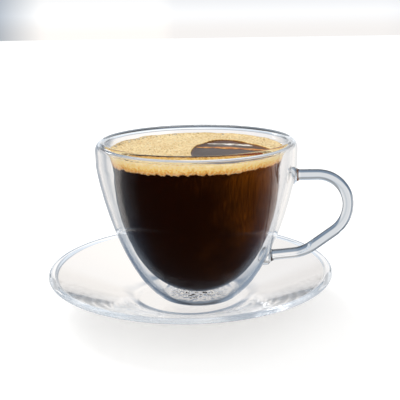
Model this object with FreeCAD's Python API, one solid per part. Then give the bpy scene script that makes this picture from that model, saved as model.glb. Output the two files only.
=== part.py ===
import FreeCAD, Part
import math
import os

# An espresso served in a double-walled glass cup on a glass saucer.
#
# Frame: millimetres, +Z up, +X towards the handle. The origin is the centre of
# the saucer's underside, on the table. The cup stands a little off the
# saucer's centre, on the side of its handle.
#
# The cup is one piece of blown glass: a bowl hangs inside an outer wall, the two
# are fused at the rim, and the air between them is sealed in. The handle is a
# bent glass rod whose ends are melted onto the outer wall.

# ---------------------------------------------------------------- saucer
SAUCER_D = 102.1          # across the rim
SAUCER_H = 14.4           # table to the top of the rim
SAUCER_FOOT_D = 38.0      # flat underside that stands on the table
SEAT_T = 3.0              # glass under the cup
WELL_ROOM = 2.1           # the well pressed for the cup reaches this far past its foot
WELL_STEP = 0.5           # depth of that well
WELL_STEP_W = 1.2         # width of its soft edge
SAUCER_RIM_W = 2.9        # width of the rounded rim
SAUCER_RIM_T = 1.6        # and its thickness
SAUCER_RIM_STEP = 0.9     # how far the rim stands above the dish inside it
SAUCER_SWEEP = 1.17       # power of the side's upward curve: 1 is a cone

# ---------------------------------------------------------------- cup
CUP_SHIFT = 2.75          # cup axis from the saucer's centre, along +X
CUP_D = 70.7              # widest part of the outer wall
CUP_H = 57.9              # foot to the crown of the rim
WIDEST_BELOW_RIM = 7.9    # crown of the rim down to the widest part
TIP_DEPTH = 3.0           # the outer curve would close this far below the foot
SIDE_POWER = 1.24         # fullness of the outer curve along its height
ROUND_POWER = 2.64        # and across it
FOOT_D = 22.6             # flat foot
FOOT_EDGE_H = 1.0         # height of the foot's rounded edge
OUTER_WALL = 1.4
FOOT_T = 1.5              # glass of the foot

RIM_W = 4.05              # widest part of the wall in to the rim's inner lip
CROWN_INSET = 2.35        # and in to the circle along the top of the rim
SHOULDER_H = 3.1          # height of the rounding outside that circle
LIP_H = 1.3               # and inside it

# ---------------------------------------------------------------- bowl inside the cup
BOWL_D = 58.6             # bowl's own outside, where it is upright
BOWL_FLARE_H = 11.4       # crown of the rim down to where it starts to open out
BOWL_BOTTOM_H = 2.9       # foot plane to the underside of the bowl
BOWL_SIDE_POWER = 1.95
BOWL_ROUND_POWER = 2.27
BOWL_WALL = 1.3
GAP_BELOW_RIM = 1.5       # crown of the rim down to the end of the sealed air space
GAP_CAP_H = 1.9           # height of its rounded end

# ---------------------------------------------------------------- handle
ROD_D = 3.9
HANDLE_BELOW_RIM = 13.6   # crown of the rim down to the rod's centre at its upper end
HANDLE_OUT = 18.75        # widest part of the wall out to the rod's outermost centre
TOP_BEND_R = 11.3
SIDE_BEND_R = 12.0
LOW_BEND_R = 15.0
SIDE_DROP = 17.4          # upper run down to the corner of the side bend
RETURN_SLOPE = 36.0       # degrees below level, from the side bend to the low bend
RETURN_RUN = 19.3         # corner of the side bend to corner of the low bend
ROOT_SLOPE = 5.0          # degrees below level where the rod meets the cup below
ROOT_FLARE_D = 6.4        # melted glass around each end of the rod
ROOT_FLARE_L = 3.2        # how far it runs out along the rod
ROOT_INSET = 6.0          # rod and melted glass carried on past the wall's face

# ---------------------------------------------------------------- drink
CREMA_BELOW_RIM = 3.3     # crown of the rim down to the foam's surface
CREMA_DEPTH = 3.9         # mean thickness of the foam layer
CREMA_LEAN = (-0.5, 0.4)  # how much thicker it is towards +X and +Y at the wall
CREMA_RIPPLE = 0.2        # height of the waves along its underside
CREMA_RIPPLE_L = 16.0     # and their length
COFFEE_BELOW_CREMA = 0.3  # bare coffee lies this far below the foam's surface
FILL_CLEARANCE = 0.1      # drink to glass
# outline of the bare patch in the foam, from the cup's axis, in shares of the foam's radius
BARE_PATCH = [(-0.056, -0.17), (0.03, 0.25), (0.215, 0.523), (0.53, 0.43),
              (0.868, -0.2), (0.645, -0.645), (0.33, -0.895), (0.03, -0.73)]

SEAT_H = SEAT_T                        # table to the plane the cup stands on
RIM_H = SEAT_H + CUP_H                 # table to the crown of the rim
WIDEST_H = RIM_H - WIDEST_BELOW_RIM
LIP_BASE_H = RIM_H - LIP_H
FLARE_START_H = RIM_H - BOWL_FLARE_H
CREMA_H = RIM_H - CREMA_BELOW_RIM
CROWN_R = CUP_D / 2 - CROWN_INSET
FLARE = CUP_D / 2 - RIM_W - (BOWL_D / 2 - BOWL_WALL)    # how far the bowl opens out
QUARTER = 0.5523                       # pole distance that rounds a quarter circle
STATIONS = 12                          # points that carry one curved outline


def at(radius, height):
    """A point of an outline, in the half plane that is turned about the Z axis."""
    return FreeCAD.Vector(radius, 0, height)


def line(start, end):
    return Part.LineSegment(start, end).toShape()


def quarter(start, corner, end):
    """A rounding from start to end whose two tangents meet at corner."""
    curve = Part.BezierCurve()
    curve.setPoles([start, start + (corner - start) * QUARTER,
                    end + (corner - end) * QUARTER, end])
    return curve.toShape()


def curved(radius_at, low, high):
    """The smooth outline radius_at(height), from low to high, closer set at its ends."""
    steps = [low + (high - low) * (1 - math.cos(math.pi * i / STATIONS)) / 2
             for i in range(STATIONS + 1)]
    curve = Part.BSplineCurve()
    curve.interpolate([at(radius_at(height), height) for height in steps])
    return curve.toShape()


def sweep(start, end):
    """A dish's side: it leaves start at a gentle slope and steepens up to end."""
    shares = [i / STATIONS for i in range(STATIONS + 1)]
    curve = Part.BSplineCurve()
    curve.interpolate([at(start.x + (end.x - start.x) * share,
                          start.z + (end.z - start.z) * share ** SAUCER_SWEEP)
                       for share in shares])
    return curve.toShape()


def turned(edges, centre_x=0.0):
    """The solid swept by a closed outline turned about an upright axis."""
    face = Part.Face(Part.Wire(Part.__sortEdges__(edges)))
    solid = face.revolve(FreeCAD.Vector(), FreeCAD.Vector(0, 0, 1), 360)
    solid.translate(FreeCAD.Vector(centre_x, 0, 0))
    return solid


# ---------------------------------------------------------------- outlines of the cup
def full_curve(radius, top, tip, side_power, round_power):
    """A rounded bowl's outline: upright at top, and closing on the axis at tip."""
    def radius_at(height):
        depth = min(max((top - height) / (top - tip), 0.0), 1.0)
        return radius * (1 - depth ** side_power) ** (1 / round_power)
    return radius_at


def outer_curve(inset):
    """The outer wall's face, or the face that lies inset inside it."""
    return full_curve(CUP_D / 2 - inset, WIDEST_H, SEAT_H - TIP_DEPTH + inset,
                      SIDE_POWER, ROUND_POWER)


def flare(height):
    """How far the bowl has opened out at this height: a parabola up to the rim's lip."""
    return FLARE * (max(height - FLARE_START_H, 0.0) / (LIP_BASE_H - FLARE_START_H)) ** 2


def bowl_curve(inset):
    """The bowl's outside, or the face that lies inset inside it."""
    tip = SEAT_H + BOWL_BOTTOM_H + inset
    round_part = full_curve(BOWL_D / 2 - inset, FLARE_START_H, tip,
                            BOWL_SIDE_POWER, BOWL_ROUND_POWER)
    return (lambda height: round_part(height) + flare(height)), tip


def bowl_outline(inset, top):
    """Edges of the bowl's face at this inset, from the axis up to top."""
    radius_at, tip = bowl_curve(inset)
    return [curved(radius_at, tip, FLARE_START_H), curved(radius_at, FLARE_START_H, top)]


# ---------------------------------------------------------------- pieces
def make_saucer():
    rim_r = SAUCER_D / 2
    crown = at(rim_r - SAUCER_RIM_W / 2, SAUCER_H)
    rim_side = at(rim_r, SAUCER_H - SAUCER_RIM_T / 2)
    rim_under = at(crown.x, SAUCER_H - SAUCER_RIM_T)
    rim_inside = at(rim_r - SAUCER_RIM_W, SAUCER_H - SAUCER_RIM_STEP)
    foot = at(SAUCER_FOOT_D / 2, 0)
    cup_foot_r = outer_curve(0)(SEAT_H + WELL_STEP)
    well = at(cup_foot_r + CUP_SHIFT + WELL_ROOM, SEAT_T)
    dish = at(well.x + WELL_STEP_W, SEAT_T + WELL_STEP)
    return turned([
        line(at(0, 0), foot),
        sweep(foot, rim_under),
        quarter(rim_under, at(rim_side.x, rim_under.z), rim_side),
        quarter(rim_side, at(rim_side.x, crown.z), crown),
        quarter(crown, at(rim_inside.x, crown.z), rim_inside),
        sweep(dish, rim_inside),
        quarter(dish, at(well.x, dish.z), well),
        line(well, at(0, SEAT_T)),
        line(at(0, SEAT_T), at(0, 0))])


def cup_outside():
    """The cup as if it were filled: everything inside the outer wall's face."""
    wall = outer_curve(0)
    edge_top = SEAT_H + FOOT_EDGE_H
    shoulder = at(CUP_D / 2, RIM_H - SHOULDER_H)
    widest = at(CUP_D / 2, WIDEST_H)
    crown = at(CROWN_R, RIM_H)
    return turned([
        line(at(0, SEAT_H), at(FOOT_D / 2, SEAT_H)),
        quarter(at(FOOT_D / 2, SEAT_H), at(wall(SEAT_H), SEAT_H), at(wall(edge_top), edge_top)),
        curved(wall, edge_top, WIDEST_H),
        line(widest, shoulder),
        quarter(shoulder, at(shoulder.x, RIM_H), crown),
        line(crown, at(0, RIM_H)),
        line(at(0, RIM_H), at(0, SEAT_H))], CUP_SHIFT)


def sealed_gap():
    """The air between the bowl and the outer wall."""
    wall = outer_curve(OUTER_WALL)
    bowl, bowl_tip = bowl_curve(0)
    floor = at(wall(SEAT_H + FOOT_T), SEAT_H + FOOT_T)
    cap_h = RIM_H - GAP_BELOW_RIM
    cap_outer = at(CUP_D / 2 - OUTER_WALL, cap_h - GAP_CAP_H)
    cap_inner = at(bowl(cap_outer.z), cap_outer.z)
    cap_top = at((cap_inner.x + 2 * cap_outer.x) / 3, cap_h)
    slope = 2 * flare(cap_outer.z) / (cap_outer.z - FLARE_START_H)
    return turned([
        line(at(0, floor.z), floor),
        curved(wall, floor.z, WIDEST_H),
        line(at(cap_outer.x, WIDEST_H), cap_outer),
        quarter(cap_outer, at(cap_outer.x, cap_h), cap_top),
        quarter(cap_top, at(cap_inner.x + slope * GAP_CAP_H, cap_h), cap_inner),
        *bowl_outline(0, cap_inner.z),
        line(at(0, bowl_tip), at(0, floor.z))], CUP_SHIFT)


def cavity():
    """The space inside the bowl, up to the crown of the rim."""
    bowl, tip = bowl_curve(BOWL_WALL)
    crown = at(CROWN_R, RIM_H)
    lip = at(bowl(LIP_BASE_H), LIP_BASE_H)
    slope = 2 * FLARE / (LIP_BASE_H - FLARE_START_H)
    return turned([
        *bowl_outline(BOWL_WALL, LIP_BASE_H),
        quarter(lip, at(lip.x + slope * LIP_H, RIM_H), crown),
        line(crown, at(0, RIM_H)),
        line(at(0, RIM_H), at(0, tip))], CUP_SHIFT)


def rounded_path(corners, radii):
    """A wire of straight runs joined by tangent arcs."""
    edges = []
    start = corners[0]
    for before, corner, after, radius in zip(corners, corners[1:], corners[2:], radii):
        back = (before - corner).normalize()
        on = (after - corner).normalize()
        half = back.getAngle(on) / 2
        reach = radius / math.tan(half)
        arc_in = corner + back * reach
        arc_out = corner + on * reach
        middle = corner + (back + on).normalize() * (radius / math.sin(half) - radius)
        edges += [line(start, arc_in), Part.Arc(arc_in, middle, arc_out).toShape()]
        start = arc_out
    edges.append(line(start, corners[-1]))
    return Part.Wire(edges)


def root_flare(end, along):
    """Melted glass round one end of the rod: a trumpet that opens towards the cup."""
    wide = ROOT_FLARE_D / 2
    thin = ROD_D / 2 * 0.98
    profile = [line(at(0, -ROOT_INSET), at(wide, -ROOT_INSET)),
               line(at(wide, -ROOT_INSET), at(wide, 0)),
               quarter(at(wide, 0), at(thin, 0.3 * ROOT_FLARE_L), at(thin, ROOT_FLARE_L)),
               line(at(thin, ROOT_FLARE_L), at(0, ROOT_FLARE_L)),
               line(at(0, ROOT_FLARE_L), at(0, -ROOT_INSET))]
    trumpet = turned(profile)
    trumpet.Placement = FreeCAD.Placement(
        end, FreeCAD.Rotation(FreeCAD.Vector(0, 0, 1), along))
    return trumpet


def make_handle():
    """The bent rod with its two melted ends, carried on into the outer wall."""
    top_h = RIM_H - HANDLE_BELOW_RIM
    reach = CUP_D / 2 + HANDLE_OUT
    top_wall = outer_curve(0)(top_h)
    slope = math.radians(RETURN_SLOPE)
    root = math.radians(ROOT_SLOPE)
    side_corner = at(reach, top_h - SIDE_DROP)
    low_corner = side_corner - FreeCAD.Vector(math.cos(slope), 0, math.sin(slope)) * RETURN_RUN
    low_wall = outer_curve(0)(low_corner.z)
    low_along = FreeCAD.Vector(math.cos(root), 0, math.sin(root))
    low_end = low_corner - low_along * ((low_corner.x - low_wall) / math.cos(root))
    top_along = FreeCAD.Vector(1, 0, 0)
    top_end = at(top_wall, top_h)

    path = rounded_path(
        [top_end - top_along * ROOT_INSET, at(reach, top_h), side_corner, low_corner,
         low_end - low_along * ROOT_INSET],
        [TOP_BEND_R, SIDE_BEND_R, LOW_BEND_R])
    section = Part.Wire(Part.makeCircle(ROD_D / 2, path.Vertexes[0].Point, top_along))
    rod = path.makePipeShell([section], True, False)
    handle = rod.fuse([root_flare(top_end, top_along), root_flare(low_end, low_along)])
    handle.translate(FreeCAD.Vector(CUP_SHIFT, 0, 0))
    return handle


def make_cup():
    body = cup_outside().fuse(make_handle())
    return body.cut(sealed_gap()).cut(cavity())


def crema_depth(x, y):
    """Thickness of the foam at a place given from the cup's axis."""
    reach = bowl_curve(BOWL_WALL)[0](CREMA_H)
    u, v = x / reach, y / reach
    waves = math.sin(2 * math.pi * x / CREMA_RIPPLE_L) * math.cos(2 * math.pi * y / CREMA_RIPPLE_L)
    return CREMA_DEPTH + CREMA_LEAN[0] * u + CREMA_LEAN[1] * v + CREMA_RIPPLE * waves


def above_crema_floor():
    """A block that stands on the foam's uneven underside."""
    half = CUP_D / 2
    count = 12
    grid = [[FreeCAD.Vector(x, y, CREMA_H - crema_depth(x, y))
             for y in (half * (2 * j / count - 1) for j in range(count + 1))]
            for x in (half * (2 * i / count - 1) for i in range(count + 1))]
    surface = Part.BSplineSurface()
    surface.interpolate(grid)
    block = surface.toShape().extrude(FreeCAD.Vector(0, 0, 2 * CREMA_DEPTH + CREMA_BELOW_RIM))
    block.translate(FreeCAD.Vector(CUP_SHIFT, 0, 0))
    return block


def bare_patch():
    """An upright column with the outline of the gap in the foam."""
    curve = Part.BSplineCurve()
    foam_r = bowl_curve(BOWL_WALL)[0](CREMA_H)
    curve.interpolate([FreeCAD.Vector(CUP_SHIFT + foam_r * x, foam_r * y, SEAT_H)
                       for x, y in BARE_PATCH], PeriodicFlag=True)
    face = Part.Face(Part.Wire(curve.toShape()))
    return face.extrude(FreeCAD.Vector(0, 0, CUP_H))


def fill(level):
    """What the bowl holds up to this level, clear of the glass."""
    inset = BOWL_WALL + FILL_CLEARANCE
    radius_at, tip = bowl_curve(inset)
    return turned([
        *bowl_outline(inset, level),
        line(at(radius_at(level), level), at(0, level)),
        line(at(0, level), at(0, tip))], CUP_SHIFT)


def make_drink():
    """The coffee, and the foam that floats on it round the bare patch."""
    foam_space = above_crema_floor().cut(bare_patch())
    foam = fill(CREMA_H).common(foam_space)
    coffee = fill(CREMA_H - COFFEE_BELOW_CREMA).cut(foam_space)
    return coffee, foam


# ---------------------------------------------------------------- build
coffee, crema = make_drink()
pieces = {"saucer": make_saucer(), "cup": make_cup(), "coffee": coffee, "crema": crema}

os.makedirs("parts", exist_ok=True)
for node, shape in pieces.items():
    solids = shape.Solids
    if len(solids) != 1 or not shape.isValid():
        raise ValueError(f"{node}: {len(solids)} solids, valid {shape.isValid()}")
    solids[0].exportStep(f"parts/{node}.step")
    box = solids[0].BoundBox
    print(f"{node}: {solids[0].Volume / 1000:.2f} cm3, "
          f"x {box.XMin:.1f}..{box.XMax:.1f}, y {box.YMin:.1f}..{box.YMax:.1f}, "
          f"z {box.ZMin:.1f}..{box.ZMax:.1f}")
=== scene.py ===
# %% [markdown]
# # An espresso in a double-walled glass cup
# The cup is two glasses in one: a bowl hangs inside an outer wall, the two are melted together
# at the rim, and the air sealed between them keeps the coffee hot and the outside cool.
# The construction model fixes every size, and this lesson builds the surfaces that the eye
# sees around it: clear glass, black coffee, golden foam. It starts by loading that model.

# %% Load the construction model
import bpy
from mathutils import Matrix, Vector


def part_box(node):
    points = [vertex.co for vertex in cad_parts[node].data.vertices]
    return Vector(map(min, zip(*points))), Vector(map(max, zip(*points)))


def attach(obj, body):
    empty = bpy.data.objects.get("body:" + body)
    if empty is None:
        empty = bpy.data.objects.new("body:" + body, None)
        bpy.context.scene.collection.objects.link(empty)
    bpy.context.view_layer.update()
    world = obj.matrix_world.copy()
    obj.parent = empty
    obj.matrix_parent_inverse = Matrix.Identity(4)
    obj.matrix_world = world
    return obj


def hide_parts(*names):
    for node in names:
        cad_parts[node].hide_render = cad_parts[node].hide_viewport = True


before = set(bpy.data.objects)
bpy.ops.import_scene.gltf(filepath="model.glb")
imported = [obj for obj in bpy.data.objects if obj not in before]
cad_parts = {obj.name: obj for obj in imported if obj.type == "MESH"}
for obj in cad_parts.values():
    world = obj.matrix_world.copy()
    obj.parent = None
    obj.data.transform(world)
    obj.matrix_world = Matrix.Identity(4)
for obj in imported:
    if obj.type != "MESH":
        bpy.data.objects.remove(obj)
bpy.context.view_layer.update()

# %% [markdown]
# ## Sizes
# Lengths here are millimetres, as a glassmaker would give them, and become metres only when a
# mesh is made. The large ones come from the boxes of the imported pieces. The walls follow the
# same formula as in the construction, so its few shape values are named again below.

# %% Sizes from the frame
import math

import bmesh
import bpy
import numpy as np
from mathutils import Matrix, Vector

MM = 0.001


def node_box(node):
    """Lowest and highest corner of a construction piece, in millimetres."""
    return [np.array(corner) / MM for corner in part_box(node)]


saucer_low, saucer_high = node_box("saucer")
cup_low, cup_high = node_box("cup")
coffee_high = node_box("coffee")[1]
crema_low, crema_high = node_box("crema")

CUP_X = (crema_low[0] + crema_high[0]) / 2       # cup's axis
SEAT = cup_low[2]                                # plane the cup stands on
RIM_TOP = cup_high[2]
CUP_R = (cup_high[1] - cup_low[1]) / 2           # widest part of the outer wall
CREMA_TOP = crema_high[2]
CREMA_R = (crema_high[1] - crema_low[1]) / 2
COFFEE_TOP = coffee_high[2]
SAUCER_R = (saucer_high[0] - saucer_low[0]) / 2
SAUCER_TOP = saucer_high[2]
print("cup axis", round(CUP_X, 2), "rim", round(RIM_TOP, 2), "foam", round(CREMA_TOP, 2),
      "coffee", round(COFFEE_TOP, 2), "mm")

# %% [markdown]
# ## Camera
# A product view from just above the rim: close enough that the rim opens into an oval, low
# enough that the foam shows both as a surface and as a band behind the glass. The camera leans
# a little under one degree, so that the table isn't perfectly level in the view.

# %% Camera
CAMERA_AT = (3.75, -255.0, 103.3)
LOOK_DOWN = 14.24           # degrees under level
LEAN = -0.86                # degrees about the line of sight
LENS = 66.15                # focal length on a 36 mm wide sensor

lens = bpy.data.cameras.new("camera")
lens.lens = LENS
lens.sensor_width = 36.0
lens.clip_start = 0.01
camera = bpy.data.objects.new("camera", lens)
camera.matrix_world = (Matrix.Translation(Vector(CAMERA_AT) * MM)
                       @ Matrix.Rotation(math.radians(90 - LOOK_DOWN), 4, "X")
                       @ Matrix.Rotation(math.radians(LEAN), 4, "Z"))
bpy.context.scene.collection.objects.link(camera)
bpy.context.scene.camera = camera
bpy.context.scene.view_settings.view_transform = "Standard"
print("camera", round(-CAMERA_AT[1]), "mm in front,", LENS, "mm lens")

# %% [markdown]
# ## From a grid of points to a mesh
# Nearly every piece here is a grid of points that closes on itself: columns run round the
# piece, rows run along its outline. Two helpers cover them all: a skin whose first and last
# rows shrink to a single pole, such as a drop or a bowl, and a ring whose rows close too, such
# as a washer. Columns run counter-clockwise and outlines start under the piece and go outward
# and up, which makes every face point out of the material.

# %% Grid helpers
TURN = 2 * math.pi


def make_piece(name, points, faces):
    """A smooth-shaded object from points in millimetres and faces as lists of point numbers."""
    mesh = bpy.data.meshes.new(name)
    mesh.from_pydata(points * MM, [], faces)
    mesh.shade_smooth()
    piece = bpy.data.objects.new(name, mesh)
    bpy.context.scene.collection.objects.link(piece)
    return piece


def strips(rows):
    """Quads between each row of point numbers and the next, round the closed columns."""
    right = np.roll(rows, -1, axis=1)
    return np.stack([rows[:-1], right[:-1], right[1:], rows[1:]], -1).reshape(-1, 4)


def skin_faces(rows, columns):
    """Faces of a grid whose first and last rows are one pole each: two fans and the quads
    between them, with the first pole as point 0 and the last pole as the last point."""
    last = 1 + (rows - 2) * columns
    middle = np.arange(1, last).reshape(rows - 2, columns)
    right = np.roll(middle, -1, axis=1)
    fans = np.vstack([np.stack([np.zeros(columns, int), right[0], middle[0]], -1),
                      np.stack([middle[-1], right[-1], np.full(columns, last)], -1)])
    return fans, strips(middle)


def skin(name, grid):
    """Piece from a grid rows x columns x 3 whose first and last rows are each one pole."""
    points = np.vstack([grid[0, :1], grid[1:-1].reshape(-1, 3), grid[-1, :1]])
    fans, quads = skin_faces(*grid.shape[:2])
    return make_piece(name, points, fans.tolist() + quads.tolist())


def ring(name, grid):
    """Piece from a grid rows x columns x 3 whose rows close as its columns do."""
    rows, columns = grid.shape[:2]
    numbers = np.arange(rows * columns).reshape(rows, columns)
    looped = np.vstack([numbers, numbers[:1]])
    return make_piece(name, grid.reshape(-1, 3), strips(looped).tolist())


# %% [markdown]
# ## Outlines of blown glass
# Seen from the side, both walls of the cup are full, rounded curves: upright at their top and
# closing on the axis at a tip. Points set at equal steps of height would crowd on the upright
# part and leave the round bottom bare, so each outline is worked out densely and then walked
# at equal steps of its own length.

# %% Outline helpers
QUARTER = 0.5523            # pole distance that rounds a quarter circle


def full_curve(heights, radius, top, tip, side_power, round_power):
    """Radius at each height: r = R (1 - d^a)^(1/b), with d the share of the way from top to tip."""
    depth = np.clip((top - heights) / (top - tip), 0, 1)
    return radius * (1 - depth ** side_power) ** (1 / round_power)


def quarter(start, corner, end, count=40):
    """Rounding between two tangents that meet at corner: a cubic Bezier curve."""
    start, corner, end = (np.array(p, float) for p in (start, corner, end))
    poles = [start, start + (corner - start) * QUARTER, end + (corner - end) * QUARTER, end]
    t = np.linspace(0, 1, count)[:, None]
    weights = [(1 - t) ** 3, 3 * t * (1 - t) ** 2, 3 * t ** 2 * (1 - t), t ** 3]
    return sum(weight * pole for weight, pole in zip(weights, poles))


def evenly(points, count):
    """The same line walked at equal steps: each coordinate read against the length so far."""
    steps = np.linalg.norm(np.diff(points, axis=0), axis=1)
    along = np.concatenate([[0], np.cumsum(steps)])
    stations = np.linspace(0, along[-1], count)
    return np.stack([np.interp(stations, along, axis) for axis in points.T], -1)


def turned(outline, columns, axis_x):
    """Grid of an outline of (radius, height) points turned about an upright axis."""
    angle = np.arange(columns) / columns * TURN
    radius, height = outline[:, 0, None], outline[:, 1, None]
    return np.stack([axis_x + radius * np.cos(angle), radius * np.sin(angle),
                     height + 0 * angle], -1)


def plane_waves(x, y, length, seed, count=14):
    """Gentle unevenness from -1 to 1: the mean of plane waves of about this length that run
    in random directions, each starting at a random phase."""
    random = np.random.default_rng(seed)
    heading = random.uniform(0, TURN, count)
    number = TURN / (length * random.uniform(0.75, 1.35, count))
    phase = random.uniform(0, TURN, count)
    total = sum(np.sin(n * (x * math.cos(h) + y * math.sin(h)) + p)
                for n, h, p in zip(number, heading, phase))
    return total / (0.5 * count ** 0.5) / 2.5


# %% [markdown]
# ## Cup: the outline of each wall
# The outer wall rises from a small flat foot and turns over at the rim into the bowl, as one
# skin. The sealed air space is a second, closed skin inside the glass whose faces point into
# the air, so that light crosses each wall as it does in the real cup. The foot is not quite
# flat: blown feet are pushed up a little in the middle, and the glass over it is uneven, which
# makes the foot sparkle.

# %% Shape values of the cup
WIDEST_BELOW_RIM = 7.9
TIP_DEPTH = 3.0             # the outer curve would close this far under the foot
SIDE_POWER, ROUND_POWER = 1.24, 2.64
FOOT_R = 11.3
FOOT_EDGE_H = 1.0
FOOT_T = 1.5
OUTER_WALL = 1.4
RIM_W = 4.05                # widest part of the wall in to the rim's inner lip
CROWN_INSET = 2.35
SHOULDER_H = 3.1
LIP_H = 1.3
BOWL_R = 29.3               # bowl's outside where it is upright
BOWL_FLARE_H = 11.4
BOWL_BOTTOM_H = 2.9
BOWL_SIDE_POWER, BOWL_ROUND_POWER = 1.95, 2.27
BOWL_WALL = 1.3
GAP_BELOW_RIM = 1.5
GAP_CAP_H = 1.9
FOOT_KICK = 0.35            # the foot's middle is pushed up by this much
FLOOR_RELIEF = 0.3          # height of the uneven glass on the air space's floor
FLOOR_RELIEF_R = 9.5
FLOOR_RELIEF_L = 2.4
STAND_OFF = 0.03            # hair's breadth between the foot and the saucer

WIDEST = RIM_TOP - WIDEST_BELOW_RIM
CROWN_R = CUP_R - CROWN_INSET
LIP_BASE = RIM_TOP - LIP_H
FLARE_START = RIM_TOP - BOWL_FLARE_H
FLARE = CUP_R - RIM_W - (BOWL_R - BOWL_WALL)
BOWL_TIP = SEAT + BOWL_BOTTOM_H


def outer_radius(heights, inset=0.0):
    """Outer wall's radius at each height, or that of the face that lies inset inside it."""
    return full_curve(heights, CUP_R - inset, WIDEST, SEAT - TIP_DEPTH + inset,
                      SIDE_POWER, ROUND_POWER)


def bowl_radius(heights, inset=0.0):
    """Bowl's radius: its round part, plus a parabola that opens it out towards the rim."""
    opening = np.clip(heights - FLARE_START, 0, None) / (LIP_BASE - FLARE_START)
    return full_curve(heights, BOWL_R - inset, FLARE_START, BOWL_TIP + inset,
                      BOWL_SIDE_POWER, BOWL_ROUND_POWER) + FLARE * opening ** 2


def wall_line(radius_at, low, high, inset=0.0, count=600):
    """Dense (radius, height) points of a wall, closest together at its lower end."""
    heights = low + (high - low) * np.linspace(0, 1, count) ** 2.5
    return np.stack([radius_at(heights, inset), heights], -1)


def slope_at(radius_at, height, step=0.01):
    """Change of radius for each millimetre of height."""
    return float(radius_at(np.array(height)) - radius_at(np.array(height - step))) / step


# %% Outlines of the cup's skin and of its air space
def cup_outline():
    """Foot, outer wall, rounded rim and bowl, from the axis below to the axis inside."""
    edge_top = SEAT + FOOT_EDGE_H
    foot = np.linspace(0, FOOT_R, 60)
    kick = FOOT_KICK * (1 - (foot / FOOT_R) ** 2) ** 2
    lip = (float(bowl_radius(np.array(LIP_BASE), BOWL_WALL)), LIP_BASE)
    lip_slope = slope_at(lambda h: bowl_radius(h, BOWL_WALL), LIP_BASE)
    wall_foot = float(outer_radius(np.array(SEAT)))
    wall_edge = float(outer_radius(np.array(edge_top)))
    inside = wall_line(bowl_radius, BOWL_TIP + BOWL_WALL, LIP_BASE, BOWL_WALL)
    return np.vstack([
        np.stack([foot, SEAT + STAND_OFF + kick], -1),
        quarter((FOOT_R, SEAT + STAND_OFF), (wall_foot, SEAT + STAND_OFF), (wall_edge, edge_top)),
        wall_line(outer_radius, edge_top, WIDEST),
        quarter((CUP_R, RIM_TOP - SHOULDER_H), (CUP_R, RIM_TOP), (CROWN_R, RIM_TOP)),
        quarter(lip, (lip[0] + lip_slope * LIP_H, RIM_TOP), (CROWN_R, RIM_TOP))[::-1],
        inside[::-1]])


def gap_outline():
    """Air space: its floor, up the outer wall, over the rounded cap and down the bowl."""
    floor = SEAT + FOOT_T
    floor_r = float(outer_radius(np.array(floor), OUTER_WALL))
    cap_top = RIM_TOP - GAP_BELOW_RIM
    cap_base = cap_top - GAP_CAP_H
    outer = CUP_R - OUTER_WALL
    inner = float(bowl_radius(np.array(cap_base)))
    slope = slope_at(bowl_radius, cap_base)
    crown = ((inner + 2 * outer) / 3, cap_top)
    return np.vstack([
        np.stack([np.linspace(0, floor_r, 60), np.full(60, floor)], -1),
        wall_line(outer_radius, floor, WIDEST, OUTER_WALL),
        quarter((outer, cap_base), (outer, cap_top), crown),
        quarter(crown, (inner + slope * GAP_CAP_H, cap_top), (inner, cap_base)),
        wall_line(bowl_radius, BOWL_TIP, cap_base)[::-1]])


CUP_ROWS, CUP_COLUMNS = 260, 256
cup_grid = turned(evenly(cup_outline(), CUP_ROWS), CUP_COLUMNS, CUP_X)
gap_grid = turned(evenly(gap_outline(), CUP_ROWS), CUP_COLUMNS, CUP_X)
from_axis = np.hypot(gap_grid[..., 0] - CUP_X, gap_grid[..., 1])
on_floor = (gap_grid[..., 2] < SEAT + FOOT_T + 0.01) * np.exp(-(from_axis / FLOOR_RELIEF_R) ** 6)
on_floor[0] = on_floor[0, 0]
gap_grid[..., 2] += on_floor * FLOOR_RELIEF * (
    1 + plane_waves(gap_grid[..., 0], gap_grid[..., 1], FLOOR_RELIEF_L, 8))
print("cup skin", cup_grid.shape[:2], "air space", gap_grid.shape[:2])

# %% [markdown]
# ## Handle
# The handle is a solid glass rod, bent hot round formers and melted on at both ends, where the
# glass spreads into a small trumpet. Its centre line is four straight runs joined by arcs, and
# the skin is a circle carried along it, wider at the ends. The real rod and wall are one piece
# of glass, so a boolean union welds them: two overlapping skins would refract light twice.

# %% Handle's centre line
ROD_R = 1.95
HANDLE_BELOW_RIM = 13.6
HANDLE_OUT = 18.75          # widest part of the wall out to the rod's outermost centre
BEND_RADII = (11.3, 12.0, 15.0)
SIDE_DROP = 17.4
RETURN_SLOPE = math.radians(36)
RETURN_RUN = 19.3
ROOT_SLOPE = math.radians(5)
ROOT_INSET = 2.4            # the rod's ends lie this far inside the wall's face
ROOT_R = 3.4                # melted glass at the wall's face
ROOT_L = 3.0                # how far it runs out along the rod


def rounded_path(corners, radii):
    """Straight runs between corners, each corner replaced by an arc tangent to both runs."""
    path = [corners[:1]]
    for before, corner, after, radius in zip(corners, corners[1:], corners[2:], radii):
        back = (before - corner) / np.linalg.norm(before - corner)
        on = (after - corner) / np.linalg.norm(after - corner)
        half = math.acos(float(back @ on)) / 2
        centre = corner + (back + on) / np.linalg.norm(back + on) * radius / math.sin(half)
        start = corner + back * radius / math.tan(half) - centre
        end = corner + on * radius / math.tan(half) - centre
        swing = np.linspace(0, 1, 40)[:, None] * (math.pi - 2 * half)
        side = (end - start * math.cos(math.pi - 2 * half)) / math.sin(math.pi - 2 * half)
        path.append(centre + start * np.cos(swing) + side * np.sin(swing))
    path.append(corners[-1:])
    return np.vstack(path)


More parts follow.
